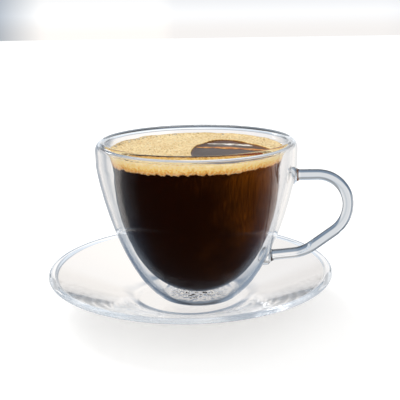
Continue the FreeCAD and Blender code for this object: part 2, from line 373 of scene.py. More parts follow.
top_h = RIM_TOP - HANDLE_BELOW_RIM
reach = CUP_R + HANDLE_OUT
side_corner = np.array([reach, top_h - SIDE_DROP])
low_corner = side_corner - RETURN_RUN * np.array([math.cos(RETURN_SLOPE), math.sin(RETURN_SLOPE)])
top_root = np.array([float(outer_radius(np.array(top_h))), top_h])
low_along = np.array([math.cos(ROOT_SLOPE), math.sin(ROOT_SLOPE)])
low_wall = float(outer_radius(np.array(low_corner[1])))
low_root = low_corner - low_along * (low_corner[0] - low_wall) / math.cos(ROOT_SLOPE)
centre_line = evenly(rounded_path(
    np.array([top_root - (ROOT_INSET, 0), (reach, top_h), side_corner, low_corner,
              low_root - low_along * ROOT_INSET]), BEND_RADII), 220)
print("handle's rod", round(float(np.linalg.norm(np.diff(centre_line, axis=0), axis=1).sum()), 1),
      "mm long")


# %% Handle's skin
def root_swell(distance):
    """How much wider the melted glass is at this distance from the wall: a cubic that dies out."""
    return (ROOT_R - ROD_R) * np.clip(1 - distance / ROOT_L, 0, 1) ** 3


def rod_grid(line, columns=48):
    """A circle carried along a line in the plane through the cup's axis. Its two directions
    are the line's own normal and the Y axis, and both ends close on a pole."""
    steps = np.gradient(line, axis=0)
    tangent = steps / np.linalg.norm(steps, axis=1)[:, None]
    length = np.concatenate([[0], np.cumsum(np.linalg.norm(np.diff(line, axis=0), axis=1))])
    from_wall = np.minimum(length, length[-1] - length) - ROOT_INSET
    radius = ROD_R + root_swell(np.clip(from_wall, 0, None))
    radius = radius * (1 + 0.012 * np.sin(length / 3.1) + 0.008 * np.sin(length / 1.3 + 2))
    radius[[0, -1]] = 0
    centres = line.copy()
    centres[0], centres[-1] = centres[1], centres[-2]
    angle = np.arange(columns) / columns * TURN
    across = radius[:, None] * np.cos(angle)
    x = CUP_X + centres[:, :1] - tangent[:, 1:] * across
    z = centres[:, 1:] + tangent[:, :1] * across
    return np.stack([x, radius[:, None] * np.sin(angle), z], -1)


# %% Weld the handle and seal in the air
def welded(body, tool):
    """One mesh that bounds both closed pieces together, by an exact boolean union."""
    weld = body.modifiers.new("weld", "BOOLEAN")
    weld.operation = "UNION"
    weld.solver = "EXACT"
    weld.object = tool
    depsgraph = bpy.context.evaluated_depsgraph_get()
    return bpy.data.meshes.new_from_object(body.evaluated_get(depsgraph))


cup_body = skin("cup_body", cup_grid)
rod = skin("rod", rod_grid(centre_line))
air = skin("air", gap_grid)
air.data.flip_normals()
weld = bmesh.new()
weld.from_mesh(welded(cup_body, rod))
weld.from_mesh(air.data)
cup_mesh = bpy.data.meshes.new("glass_cup")
weld.to_mesh(cup_mesh)
weld.free()
cup_mesh.shade_smooth()
glass_cup = bpy.data.objects.new("glass_cup", cup_mesh)
bpy.context.scene.collection.objects.link(glass_cup)
for scaffold in (cup_body, rod, air):
    bpy.data.objects.remove(scaffold)
print("glass cup", len(cup_mesh.polygons), "faces")

# %% [markdown]
# ## Saucer
# A pressed glass dish: a flat seat for the cup, a side that sweeps up gently and a rounded rim.
# It is one outline turned about its own axis, like the cup's. The construction has a shallow
# step round the seat. Polished glass hides it, so here the side leaves the seat with no edge.

# %% Saucer
SAUCER_FOOT_R = 19.0
SEAT_R = 17.5               # the dish is flat out to here
DISH_EASE = 0.12            # share of the way out over which its slope sets in
SAUCER_RIM_W = 2.9
SAUCER_RIM_T = 1.6
SAUCER_RIM_STEP = 0.9
SAUCER_SWEEP = 1.17


def sweep(start, end, ease, count=200):
    """A dish's side: height grows as the share of the way out, to a power that steepens it,
    and sets in as 1 - e^(-(share / ease)^2)."""
    share = np.linspace(0, 1, count)
    onset = 1 - np.exp(-(share / ease) ** 2)
    return np.stack([start[0] + (end[0] - start[0]) * share,
                     start[1] + (end[1] - start[1]) * onset * share ** SAUCER_SWEEP], -1)


def saucer_outline():
    """Underside, rim and dish, from the axis below to the axis above."""
    crown_r = SAUCER_R - SAUCER_RIM_W / 2
    rim_under = (crown_r, SAUCER_TOP - SAUCER_RIM_T)
    rim_side = (SAUCER_R, SAUCER_TOP - SAUCER_RIM_T / 2)
    crown = (crown_r, SAUCER_TOP)
    rim_inside = (SAUCER_R - SAUCER_RIM_W, SAUCER_TOP - SAUCER_RIM_STEP)
    return np.vstack([
        [(0, 0)], sweep((SAUCER_FOOT_R, 0), rim_under, DISH_EASE),
        quarter(rim_under, (SAUCER_R, rim_under[1]), rim_side),
        quarter(rim_side, (SAUCER_R, SAUCER_TOP), crown),
        quarter(crown, (rim_inside[0], SAUCER_TOP), rim_inside),
        sweep((SEAT_R, SEAT), rim_inside, DISH_EASE)[::-1],
        [(0, SEAT)]])


glass_saucer = skin("glass_saucer", turned(evenly(saucer_outline(), 300), 256, 0.0))
print("glass saucer", len(glass_saucer.data.polygons), "faces")

# %% [markdown]
# ## The drink: one grid for coffee and foam
# The foam lies on the coffee as a thick layer with one bare patch, where the coffee shows. Both
# pieces share a grid of columns that fan out from the middle of that patch: each column leaves
# the patch's edge and runs straight to the glass. The patch's outline is a smooth closed curve
# through eight listed points, as a short Fourier series. Both pieces reach a hair's breadth
# into the bowl's wall, since a film of air there would show as silver.

# %% Outline of the bare patch
# points of the patch's edge, as shares of the foam's radius
BARE_PATCH = [(-0.056, -0.17), (0.03, 0.25), (0.215, 0.523), (0.53, 0.43),
              (0.868, -0.2), (0.645, -0.645), (0.33, -0.895), (0.03, -0.73)]
DRINK_COLUMNS = 512


def closed_curve(points, count):
    """Smooth closed curve through the points: the sum of turning arrows whose sizes are the
    points' own Fourier terms."""
    terms = np.fft.fft(points[:, 0] + 1j * points[:, 1]) / len(points)
    turns = np.fft.fftfreq(len(points), 1 / len(points))
    t = np.arange(count) / count
    curve = sum(term * np.exp(TURN * 1j * turn * t) for term, turn in zip(terms, turns))
    return np.stack([curve.real, curve.imag], -1)


patch = closed_curve(np.array(BARE_PATCH[::-1]) * CREMA_R, DRINK_COLUMNS * 4)
patch_middle = patch.mean(0)
from_middle = patch - patch_middle
heading = np.unwrap(np.arctan2(from_middle[:, 1], from_middle[:, 0]))
column_angle = heading[0] + np.arange(DRINK_COLUMNS) / DRINK_COLUMNS * TURN
full_turn = np.concatenate([heading, heading[:1] + TURN])
patch_reach = np.interp(column_angle, full_turn,
                        np.concatenate([np.hypot(*from_middle.T), [np.hypot(*from_middle[0])]]))
toward = np.stack([np.cos(column_angle), np.sin(column_angle)], -1)
patch_edge = patch_middle + patch_reach[:, None] * toward
print("bare patch", np.round(np.ptp(patch, axis=0), 1), "mm, columns", DRINK_COLUMNS)

# %% Underside of the foam
CREMA_DEPTH = 3.9           # foam's mean thickness
CREMA_LEAN = (-0.5, 0.4)    # and how much it grows from the middle to the glass, along X and Y
UNDER_WAVES = ((0.2, 14.0, 4), (0.22, 3.1, 5), (0.2, 1.25, 6))    # height, length, seed
INTO_WALL = 0.12            # coffee reaches this far into the bowl's wall
FOAM_INTO_WALL = 0.2        # and the foam a little further, so that it shows in front


def wall_reach(radius):
    """Distance along each column's heading from the patch's middle to a circle about the axis."""
    along = toward @ patch_middle
    return -along + np.sqrt(along ** 2 - patch_middle @ patch_middle + radius ** 2)


def sum_of_waves(x, y, waves):
    """Uneven height: each entry of waves adds its own height, length and seed."""
    return sum(height * plane_waves(x, y, length, seed) for height, length, seed in waves)


def foam_depth(x, y):
    """Foam's thickness: a mean, a lean, slow waves, and short ones for its bubbly edge."""
    u, v = x / CREMA_R, y / CREMA_R
    return (CREMA_DEPTH + CREMA_LEAN[0] * u + CREMA_LEAN[1] * v
            + sum_of_waves(x, y, UNDER_WAVES))


def between(inner, outer, shares):
    """Rows of points from inner to outer, at these shares of the way."""
    return inner + (outer - inner) * np.asarray(shares)[:, None, None]


def lifted(flat, heights):
    """Flat points about the cup's axis, moved onto it and given their heights."""
    return np.concatenate([flat + (CUP_X, 0), heights[..., None]], -1)


# %% Top of the foam
LIP_R = 0.35                # rounding of the foam's edge round the patch
CLIMB = 0.45                # foam climbs the glass by this much, most of it at the far side
CLIMB_L = 0.7               # and the climb dies out over this distance
TOP_WAVES = ((0.10, 9.0, 1), (0.05, 2.2, 2))    # height, length, seed


def foam_top(flat):
    """Height of the foam: level, with low swells and a climb at the glass as e^(-distance)."""
    x, y = flat[..., 0], flat[..., 1]
    to_glass = float(bowl_radius(np.array(CREMA_TOP), BOWL_WALL)) - np.hypot(x, y)
    climb = CLIMB * np.clip(0.5 + 0.6 * y / CREMA_R, 0.1, 1)
    return (CREMA_TOP + sum_of_waves(x, y, TOP_WAVES)
            + climb * np.exp(-np.clip(to_glass, 0, None) / CLIMB_L))


# %% Foam's grid
UNDER_ROWS, SIDE_ROWS, TOP_ROWS, LIP_ROWS = 24, 25, 89, 6


def foam_grid():
    """Rows: under the foam from patch to glass, up the glass, back across the top, and down
    the rounded edge of the patch."""
    low_r = float(bowl_radius(np.array(CREMA_TOP - CREMA_DEPTH), BOWL_WALL - FOAM_INTO_WALL))
    low_edge = patch_middle + wall_reach(low_r)[:, None] * toward
    under = between(patch_edge, low_edge, np.linspace(0, 1, UNDER_ROWS))
    under_h = CREMA_TOP - foam_depth(under[..., 0], under[..., 1])
    direction = low_edge / np.linalg.norm(low_edge, axis=1)[:, None]
    top_edge_r = float(bowl_radius(np.array(CREMA_TOP + CLIMB), BOWL_WALL - FOAM_INTO_WALL))
    top_edge = patch_middle + wall_reach(top_edge_r)[:, None] * toward
    top_h = foam_top(top_edge)
    height = under_h[-1] + (top_h - under_h[-1]) * np.linspace(0, 1, SIDE_ROWS + 1)[1:, None]
    side = lifted(direction * bowl_radius(height, BOWL_WALL - FOAM_INTO_WALL)[..., None], height)
    rim = side[-1][:, :2] - (CUP_X, 0)
    inner = patch_edge + toward * LIP_R
    shares = 1 - np.linspace(0, 1, TOP_ROWS + 1)[1:] ** 1.25
    top = between(inner, rim, shares)
    bend = np.linspace(0, math.pi / 2, LIP_ROWS + 1)[1:, None]
    lip = patch_edge + toward * (LIP_R * (1 - np.sin(bend)))[..., None]
    lip_h = foam_top(inner) - LIP_R * (1 - np.cos(bend))
    return np.vstack([lifted(under, under_h), side, lifted(top, foam_top(top)),
                      lifted(lip, lip_h)])


def point_share(piece, name, shares):
    """Stores one number for each point of the mesh, for its material to read."""
    attribute = piece.data.attributes.new(name, "FLOAT", "POINT")
    attribute.data.foreach_set("value", np.ascontiguousarray(shares, np.float32).ravel())


# %% Foam's mesh, and two numbers at each point that its material reads
foam_points = foam_grid()
crema = ring("crema_foam", foam_points)
depth_rows = np.concatenate([np.ones(UNDER_ROWS), np.linspace(1, 0, SIDE_ROWS + 1)[1:],
                             np.zeros(TOP_ROWS), np.linspace(0, 0.97, LIP_ROWS + 1)[1:]])
point_share(crema, "depth", np.repeat(depth_rows, DRINK_COLUMNS))
at_glass = np.arange(len(depth_rows)) < UNDER_ROWS + SIDE_ROWS
point_share(crema, "at_glass", np.repeat(at_glass, DRINK_COLUMNS))
print("foam", foam_points.shape[:2], "grid,", len(crema.data.polygons), "faces")

# %% Bare surface of the coffee
MENISCUS_H = -0.1           # at the foam's edge the coffee stands this far over its level
MENISCUS_DIP = 0.6          # and in the middle this far under it
MENISCUS_L = 1.8


def past_edge(flat):
    """How far each flat point lies inside the patch's edge, along its line from the middle."""
    offset = flat - patch_middle
    turn = np.arctan2(offset[..., 1], offset[..., 0])
    turn = column_angle[0] + (turn - column_angle[0]) % TURN
    reach = np.interp(turn, np.append(column_angle, column_angle[0] + TURN),
                      np.append(patch_reach, patch_reach[0]))
    return reach - np.hypot(offset[..., 0], offset[..., 1])


def pool_height(flat):
    """Bare coffee: a hollow surface that climbs to the foam as e^(-distance / length)."""
    rise = np.exp(-np.clip(past_edge(flat), 0, None) / MENISCUS_L)
    return COFFEE_TOP - MENISCUS_DIP + (MENISCUS_DIP + MENISCUS_H) * rise


# %% Coffee
BOWL_ROWS, COVER_ROWS, WALL_ROWS, POOL_ROWS = 130, 24, 8, 45
INTO_FOAM = 0.03            # coffee reaches this far into the foam over it
UNDER_LIP = 0.15            # and goes on this far under the foam's edge
LEVEL_FROM = BOWL_TIP + 30  # above this height its rows bend to follow the foam's underside
# painted shade: nearer the foam than this the mirror is turned down, which paints a dark outline
# round the bare patch
DARK_EDGE = 0.3             # the bare coffee starts to mirror this far from the foam


def coffee_grid():
    """Rows: up the bowl from its tip, inward under the foam, up the patch's edge, and across
    the bare surface to the patch's middle, which is a pole."""
    inset = BOWL_WALL - INTO_WALL
    low_r = float(bowl_radius(np.array(CREMA_TOP - CREMA_DEPTH), inset))
    low_edge = patch_middle + wall_reach(low_r)[:, None] * toward
    direction = low_edge / np.linalg.norm(low_edge, axis=1)[:, None]
    edge_h = CREMA_TOP - foam_depth(low_edge[:, 0], low_edge[:, 1]) + INTO_FOAM
    line = evenly(wall_line(bowl_radius, BOWL_TIP + inset, CREMA_TOP - CREMA_DEPTH, inset),
                  BOWL_ROWS)
    stretch = np.clip((line[:, 1] - LEVEL_FROM) / (line[-1, 1] - LEVEL_FROM), 0, 1)
    height = line[:, 1, None] + stretch[:, None] * (edge_h - line[-1, 1])
    radius = bowl_radius(height, inset)
    radius[0] = 0
    side = lifted(direction * radius[..., None], height)
    rim = side[-1][:, :2] - (CUP_X, 0)
    under = between(patch_edge + toward * UNDER_LIP, rim, np.linspace(1, 0, COVER_ROWS)[1:])
    under_h = CREMA_TOP - foam_depth(under[..., 0], under[..., 1]) + INTO_FOAM
    edge = under[-1]
    rise = np.linspace(0, 1, WALL_ROWS)[1:-1, None]
    wall_h = under_h[-1] + (COFFEE_TOP + MENISCUS_H - under_h[-1]) * rise
    wall = np.broadcast_to(edge, (len(rise),) + edge.shape)
    shares = 1 - np.linspace(0, 1, POOL_ROWS) ** 1.4
    pool = between(patch_middle[None], edge, shares)
    return np.vstack([side, lifted(under, under_h), lifted(wall, wall_h),
                      lifted(pool, pool_height(pool))])


coffee_points = coffee_grid()
coffee = skin("black_coffee", coffee_points)
from_edge = past_edge(coffee_points[-POOL_ROWS:, :, :2] - (CUP_X, 0))
open_rows = np.zeros(coffee_points.shape[:2])
open_rows[-POOL_ROWS:] = np.clip(from_edge / DARK_EDGE - 1, 0, 1)
point_share(coffee, "open", np.concatenate([[0.0], open_rows[1:-1].ravel(), [1.0]]))
print("coffee", coffee_points.shape[:2], "grid,", len(coffee.data.polygons), "faces")

# %% [markdown]
# ## Bubbles, and two streaks painted on the coffee
# Crema is a mass of bubbles, most of them finer than a grain of salt. The larger ones stand out
# of it as small domes, and a few clear ones sit where the foam meets the glass. Each kind is one
# mesh: a small ball of a few dozen faces, copied by one array sum to all its places. On the bare
# coffee lie two thin streaks, each a flat oval carried along a curve that lies on the liquid: a
# pale one, a painted highlight, and a brown one, a painted reflection of the foam's far wall.

# %% Ball and scatter
def balls(name, centres, radii, height_share, rows=6, columns=7):
    """Many closed balls as one mesh. Each point is centre + radius x unit ball's point, with
    the ball's height scaled. Also stores one random tone for each ball."""
    latitude = np.linspace(-math.pi / 2, math.pi / 2, rows)[:, None]
    longitude = np.arange(columns) / columns * TURN
    grid = np.stack([np.cos(latitude) * np.cos(longitude), np.cos(latitude) * np.sin(longitude),
                     np.sin(latitude) * height_share + 0 * longitude], -1)
    unit = np.vstack([grid[0, :1], grid[1:-1].reshape(-1, 3), grid[-1, :1]])
    points = centres[:, None] + radii[:, None, None] * unit
    first = (np.arange(len(centres)) * len(unit))[:, None, None]
    fans, quads = (faces[None] + first for faces in skin_faces(rows, columns))
    piece = make_piece(name, points.reshape(-1, 3),
                       fans.reshape(-1, 3).tolist() + quads.reshape(-1, 4).tolist())
    tones = np.random.default_rng(len(centres)).uniform(0, 1, len(centres))
    point_share(piece, "tone", np.repeat(tones, len(unit)))
    return piece


# %% Crema's larger bubbles
BUBBLES = 2600
BUBBLE_R = 0.17             # typical radius
BUBBLE_SPREAD = 0.33        # of its logarithm
BUBBLE_RANGE = (0.09, 0.42)

random = np.random.default_rng(21)
count = BUBBLES * 2
radius = np.clip(BUBBLE_R * np.exp(random.normal(0, BUBBLE_SPREAD, count)), *BUBBLE_RANGE)
glass_r = float(bowl_radius(np.array(CREMA_TOP), BOWL_WALL))
distance = glass_r * np.sqrt(random.uniform(0, 1, count))
angle = random.uniform(0, TURN, count)
places = distance[:, None] * np.stack([np.cos(angle), np.sin(angle)], -1)
on_foam = (past_edge(places) < -LIP_R - radius * 0.5) & (distance < glass_r - radius - 0.05)
places, radius = places[on_foam][:BUBBLES], radius[on_foam][:BUBBLES]
sunk = random.uniform(0.2, 0.8, len(radius)) * radius
foam_bubbles = balls("crema_bubbles", lifted(places, foam_top(places) - sunk), radius, 0.9)
print("bubbles", len(radius), "with", len(foam_bubbles.data.polygons), "faces")

# %% Clear bubbles along the glass
CLEAR_BUBBLES = 44

angle = np.radians(np.clip(random.normal(150, 42, CLEAR_BUBBLES), 20, 300))
radius = random.uniform(0.28, 0.58, CLEAR_BUBBLES)
distance = glass_r - radius - random.exponential(0.5, CLEAR_BUBBLES)
places = distance[:, None] * np.stack([np.cos(angle), np.sin(angle)], -1)
clear_bubbles = balls("clear_bubbles", lifted(places, foam_top(places) - radius * 0.25),
                      radius, 0.8, rows=8, columns=10)
print("clear bubbles", CLEAR_BUBBLES)

# %% Painted highlight and reflection on the bare coffee
def streak_grid(route, half_width, height, columns=16, rows=80):
    """A flat oval carried along a curve over the coffee, shrinking to nothing at both ends."""
    t = np.linspace(0, 1, rows)
    stations = np.linspace(0, 1, len(route))
    line = np.stack([np.polyval(np.polyfit(stations, axis, 3), t)
                     for axis in np.array(route).T], -1) * CREMA_R
    steps = np.gradient(line, axis=0)
    along = steps / np.linalg.norm(steps, axis=1)[:, None]
    swell = np.sin(math.pi * t) ** 0.7 * (1 + 0.2 * np.sin(17 * t) + 0.1 * np.sin(41 * t + 1))
    around = np.arange(columns) / columns * TURN
    across = half_width * swell[:, None] * np.cos(around)
    normal = np.stack([-along[:, 1], along[:, 0]], -1)
    flat = line[:, None] + normal[:, None] * across[..., None]
    return lifted(flat, pool_height(flat) + height * (swell[:, None] * np.sin(around) + 0.3))


# painted reflection: a brown streak where the bare coffee mirrors the foam's far wall; painted
# highlight: a pale streak where it catches a glint
painted_foam_reflection = skin("painted_foam_reflection", streak_grid(
    [(-0.01, 0.12), (0.18, 0.16), (0.4, 0.1), (0.62, 0.0), (0.84, -0.13)], 1.7, 0.1))
painted_highlight_streak = skin("painted_highlight_streak", streak_grid(
    [(0.13, 0.37), (0.27, 0.39), (0.44, 0.34), (0.57, 0.26), (0.68, 0.14)], 1.25, 0.1))
print("painted_streaks", len(painted_foam_reflection.data.polygons) + len(painted_highlight_streak.data.polygons), "faces")

# %% [markdown]
# ## Materials: two small helpers
# Colours are written as sRGB hex, as a colour card gives them, and turned to linear light. One
# helper adds every node and links it. Lengths in a material are millimetres too: a noise's scale
# is one over the size of its lumps.

# %% Colour helper and node helper
def linear(hex_colour):
    """sRGB hex to linear light: a short straight part near black, then a 2.4 power."""
    values = np.array([int(hex_colour[i:i + 2], 16) / 255 for i in (0, 2, 4)])
    light = np.where(values <= 0.04045, values / 12.92, ((values + 0.055) / 1.055) ** 2.4)
    return (*(float(v) for v in light), 1.0)


def node(tree, kind, inputs=None, stops=(), **settings):
    """Adds a node with its settings. Each named input takes a value, an output, or a node, whose
    first live output is linked. A colour ramp's stops are (place, hex colour)."""
    made = tree.nodes.new(kind)
    for key, value in settings.items():
        setattr(made, key, value)
    for key, value in (inputs or {}).items():
        if isinstance(value, bpy.types.Node):
            value = next(output for output in value.outputs if output.enabled)
        if isinstance(value, bpy.types.NodeSocket):
            tree.links.new(value, made.inputs[key])
        else:
            made.inputs[key].default_value = value
    for number, (place, colour) in enumerate(stops):
        if number >= len(made.color_ramp.elements):
            made.color_ramp.elements.new(1.0)
        made.color_ramp.elements[number].position = place
        made.color_ramp.elements[number].color = linear(colour)
    return made


def blank_material(name):
    """A material whose node tree is empty."""
    material = bpy.data.materials.new(name)
    material.use_nodes = True
    material.node_tree.nodes.clear()
    return material, material.node_tree


# %% [markdown]
# ## Borosilicate glass
# The cup is lampworked from borosilicate tube: clear and thin, with faint waves where it was
# reheated. That gives the eye bright, slightly wandering edge lines and almost no colour. Its
# mirror image of the room is tinted down, as a polarising filter does, so that the coffee stays
# deep behind four faces of glass. Light also runs up inside the wall and leaves at the rim; that
# way is too long to trace, so the rim gets a little light of its own.

# %% Glass
def glass_material(name, wave_mm, bump_mm, tint_from, axis_x, rim):
    """Clear glass with slow waves of this length and height in its surface. Past the X given in
    tint_from it is solid and thick enough to show its faint grey-blue. The rim is given as its
    crown's radius, its height, the Y it starts from and the light that the wall pipes up to it."""
    material, tree = blank_material(name)
    place = node(tree, "ShaderNodeTexCoord").outputs["Object"]
    across = node(tree, "ShaderNodeSeparateXYZ", {"Vector": place})
    waves = node(tree, "ShaderNodeTexNoise",
                 {"Vector": place, "Scale": 1 / (wave_mm * MM), "Detail": 1.0})
    bump = node(tree, "ShaderNodeBump",
                {"Height": waves, "Strength": 1.0, "Distance": bump_mm * MM})
    in_rod = node(tree, "ShaderNodeMapRange",
                  {"Value": across.outputs["X"], 1: (tint_from - 1.5) * MM, 2: tint_from * MM})
    tint = node(tree, "ShaderNodeValToRGB", {"Fac": in_rod}, [(0.0, "FFFFFF"), (1.0, "E0E6EC")])
    crown_r, crown_h, from_y, light = rim
    offset = node(tree, "ShaderNodeVectorMath", {0: place, 1: (axis_x * MM, 0, 0)},
                  operation="SUBTRACT")
    level = node(tree, "ShaderNodeVectorMath", {0: offset, 1: (1, 1, 0)}, operation="MULTIPLY")
    radial = node(tree, "ShaderNodeVectorMath", {0: level}, operation="LENGTH")
    outside = node(tree, "ShaderNodeMapRange",
                   {"Value": radial, 1: (crown_r - 1.2) * MM, 2: (crown_r - 0.5) * MM})
    high = node(tree, "ShaderNodeMapRange", {"Value": across.outputs["Z"],
                                             1: (crown_h - 1.5) * MM, 2: (crown_h - 0.5) * MM})
    behind = node(tree, "ShaderNodeMapRange",
                  {"Value": across.outputs["Y"], 1: from_y * MM, 2: (from_y + 15) * MM})
    on_crown = node(tree, "ShaderNodeMath", {0: outside, 1: high}, operation="MULTIPLY")
    on_rim = node(tree, "ShaderNodeMath", {0: on_crown, 1: behind}, operation="MULTIPLY")
    piped = node(tree, "ShaderNodeValToRGB", {"Fac": on_rim}, [(0.0, "000000"), (1.0, light)])
    shader = node(tree, "ShaderNodeBsdfPrincipled", {
        "Base Color": tint, "Roughness": 0.0, "IOR": 1.47, "Normal": bump,
        "Transmission Weight": 1.0, "Specular Tint": linear("202020"),
        "Emission Color": piped, "Emission Strength": 1.0})
    node(tree, "ShaderNodeOutputMaterial", {"Surface": shader})
    return material


borosilicate = glass_material("borosilicate_glass", 5.0, 0.02, CUP_X + CUP_R + 1.5, CUP_X,
                              (CROWN_R, RIM_TOP, -12, "8C949C"))
pressed_glass = glass_material("pressed_glass", 9.0, 0.04, 2 * SAUCER_R, 0.0,
                               (SAUCER_R - SAUCER_RIM_W / 2, SAUCER_TOP, -50, "60666C"))
print("glass", borosilicate.name, pressed_glass.name)

# %% [markdown]
# ## Black coffee
# Coffee is a clear liquid with a strong brown absorption: black where the glass is wide, amber
# where the light's way through it is only a few millimetres. The lamp stands behind on one side,
# so the amber shows on the other, in faint upright streaks; it is painted, as a glow that the
# liquid sends out and as a colour that grows lighter on that side, since its own way through the
# coffee is too dim to trace. Glow and colour are also painted darker towards the bottom. Against
# glass the coffee hardly mirrors, as the two bend light nearly alike. On the bare patch it is a
# dark mirror, but at the patch's very edge its mirror is turned down, a painted dark outline.

# %% Coffee's material
black_coffee, tree = blank_material("black_coffee")
place = node(tree, "ShaderNodeTexCoord").outputs["Object"]
across = node(tree, "ShaderNodeSeparateXYZ", {"Vector": place})
stretched = node(tree, "ShaderNodeMapping",
                 {"Vector": place, "Scale": (1 / (2.0 * MM), 1 / (2.0 * MM), 1 / (30 * MM))})
streaks = node(tree, "ShaderNodeTexNoise", {"Vector": stretched, "Detail": 2.0})
clouds = node(tree, "ShaderNodeTexNoise",
              {"Vector": place, "Scale": 1 / (16.0 * MM), "Detail": 2.0})
lightness = node(tree, "ShaderNodeMath", {0: streaks, 1: clouds}, operation="MULTIPLY")
# painted light and shade: the tone rises along +X, the side away from the lamp, and falls towards
# the bottom; it sets both the coffee's colour and its glow
painted_lit_side = node(tree, "ShaderNodeMapRange", {"Value": across.outputs["X"], 1: (CUP_X - 30) * MM,
                                             2: (CUP_X + 30) * MM, 3: -0.3, 4: 0.62})
painted_low_shade = node(tree, "ShaderNodeMapRange", {"Value": across.outputs["Z"], 1: (BOWL_TIP + 4) * MM,
                                           2: COFFEE_TOP * MM, 3: -0.14, 4: 0.08})
painted_light_shift = node(tree, "ShaderNodeMath", {0: painted_lit_side, 1: painted_low_shade}, operation="ADD")
tone = node(tree, "ShaderNodeMath", {0: painted_light_shift, 1: lightness}, operation="ADD")
brown = node(tree, "ShaderNodeValToRGB", {"Fac": tone},
             [(0.0, "5C1E06"), (0.45, "6A2608"), (0.62, "A85410"), (0.8, "C87018"),
              (0.95, "E8A050")])
amber = node(tree, "ShaderNodeValToRGB", {"Fac": tone},
             [(0.0, "120502"), (0.4, "160702"), (0.55, "281203"), (0.7, "4A2404"),
              (0.85, "6A3808"), (1.0, "A06424")])
open_face = node(tree, "ShaderNodeAttribute", attribute_name="open").outputs["Fac"]
painted_glow = node(tree, "ShaderNodeMix", {"Factor": open_face, 6: amber, 7: linear("0A0402")},
             data_type="RGBA")
# painted shade: the mirror is low where the open share is low, a painted dark outline at the
# patch's edge
mirror = node(tree, "ShaderNodeValToRGB", {"Fac": open_face},
              [(0.0, "303030"), (1.0, "D8D8D8")])
shader = node(tree, "ShaderNodeBsdfPrincipled", {
    "Base Color": brown, "Roughness": 0.0, "IOR": 1.33,
    "Specular Tint": mirror, "Transmission Weight": 0.92,
    "Emission Color": painted_glow, "Emission Strength": 0.8})
volume = node(tree, "ShaderNodeVolumeAbsorption",
              {"Color": (0.62, 0.42, 0.08, 1.0), "Density": 900.0})
node(tree, "ShaderNodeOutputMaterial", {"Surface": shader, "Volume": volume})
print("coffee", black_coffee.name, len(tree.nodes), "nodes")

# %% [markdown]
# ## Crema
# Crema is a fine foam of coffee oils: cells of under half a millimetre, straw yellow on top and
# golden brown where it is wet, at its lower edge. Each cell is a small dome, drawn as relief, and
# a fine grain of light and dark makes the speckle. Foam that wets the glass loses about half of
# its light inside the wall, and the side gets that back as light of its own.

# %% Foam's material
CELL = 0.45                 # mm across one cell

foam_material, tree = blank_material("crema_foam")
place = node(tree, "ShaderNodeTexCoord").outputs["Object"]
cells = node(tree, "ShaderNodeTexVoronoi",
             {"Vector": place, "Scale": 1 / (CELL * MM), "Randomness": 1.0})
grain = node(tree, "ShaderNodeTexNoise",
             {"Vector": place, "Scale": 1 / (0.7 * MM), "Detail": 2.0})
grain_colour = node(tree, "ShaderNodeValToRGB", {"Fac": grain},
                    [(0.38, "B88C52"), (0.5, "E8C98E"), (0.6, "FFF0C6")])
cloud = node(tree, "ShaderNodeTexNoise",
             {"Vector": place, "Scale": 1 / (7.0 * MM), "Detail": 4.0, "Roughness": 0.6})
cloud_colour = node(tree, "ShaderNodeValToRGB", {"Fac": cloud},
                    [(0.35, "DCBA7C"), (0.5, "EACB90"), (0.65, "F6DCA4")])
top = node(tree, "ShaderNodeMix", {"Factor": 0.45, 6: grain_colour, 7: cloud_colour},
           data_type="RGBA")
depth = node(tree, "ShaderNodeAttribute", attribute_name="depth").outputs["Fac"]
wetness = node(tree, "ShaderNodeValToRGB", {"Fac": depth},
               [(0.0, "FFEEBC"), (0.35, "F8D68C"), (0.65, "E8B450"), (0.88, "C48028"),
                (1.0, "5A2C08")])
side = node(tree, "ShaderNodeMix", {"Factor": 0.35, 6: wetness, 7: grain_colour},
            data_type="RGBA")
on_side = node(tree, "ShaderNodeMapRange", {"Value": depth, 1: 0.0, 2: 0.04})
colour = node(tree, "ShaderNodeMix", {"Factor": on_side, 6: top, 7: side}, data_type="RGBA")
at_glass = node(tree, "ShaderNodeAttribute", attribute_name="at_glass").outputs["Fac"]
returned = node(tree, "ShaderNodeMix", {"Factor": at_glass, 6: linear("000000"), 7: side},
                data_type="RGBA")
bump = node(tree, "ShaderNodeBump",
            {"Height": cells, "Strength": 0.9, "Distance": -0.15 * MM})
shader = node(tree, "ShaderNodeBsdfPrincipled", {
    "Base Color": colour, "Roughness": 0.5, "IOR": 1.35, "Normal": bump,
    "Emission Color": returned, "Emission Strength": 0.7})
node(tree, "ShaderNodeOutputMaterial", {"Surface": shader})
print("foam", foam_material.name, len(tree.nodes), "nodes")

# %% [markdown]
# ## Films of coffee oil
# A bubble is a film of coffee with oil in it. Seen on the foam it is glossy and straw coloured,
# each a little different; the largest are clear. The two streaks on the coffee are painted: the
# pale one, nearly white, is a painted highlight, the brown one a painted reflection of the foam.

# %% Four films
def film_material(name, stops, grain_mm=0.0, **surface):
    """A glossy film. Its colour is a ramp read at noise of this grain, or else at each bubble's
    own random tone."""
    material, tree = blank_material(name)
    if grain_mm:
        place = node(tree, "ShaderNodeTexCoord").outputs["Object"]
        factor = node(tree, "ShaderNodeTexNoise",
                      {"Vector": place, "Scale": 1 / (grain_mm * MM), "Detail": 3.0})
    else:
        factor = node(tree, "ShaderNodeAttribute", attribute_name="tone").outputs["Fac"]
    film = node(tree, "ShaderNodeValToRGB", {"Fac": factor}, stops)
    shader = node(tree, "ShaderNodeBsdfPrincipled", {"Base Color": film, **surface})
    node(tree, "ShaderNodeOutputMaterial", {"Surface": shader})
    return material


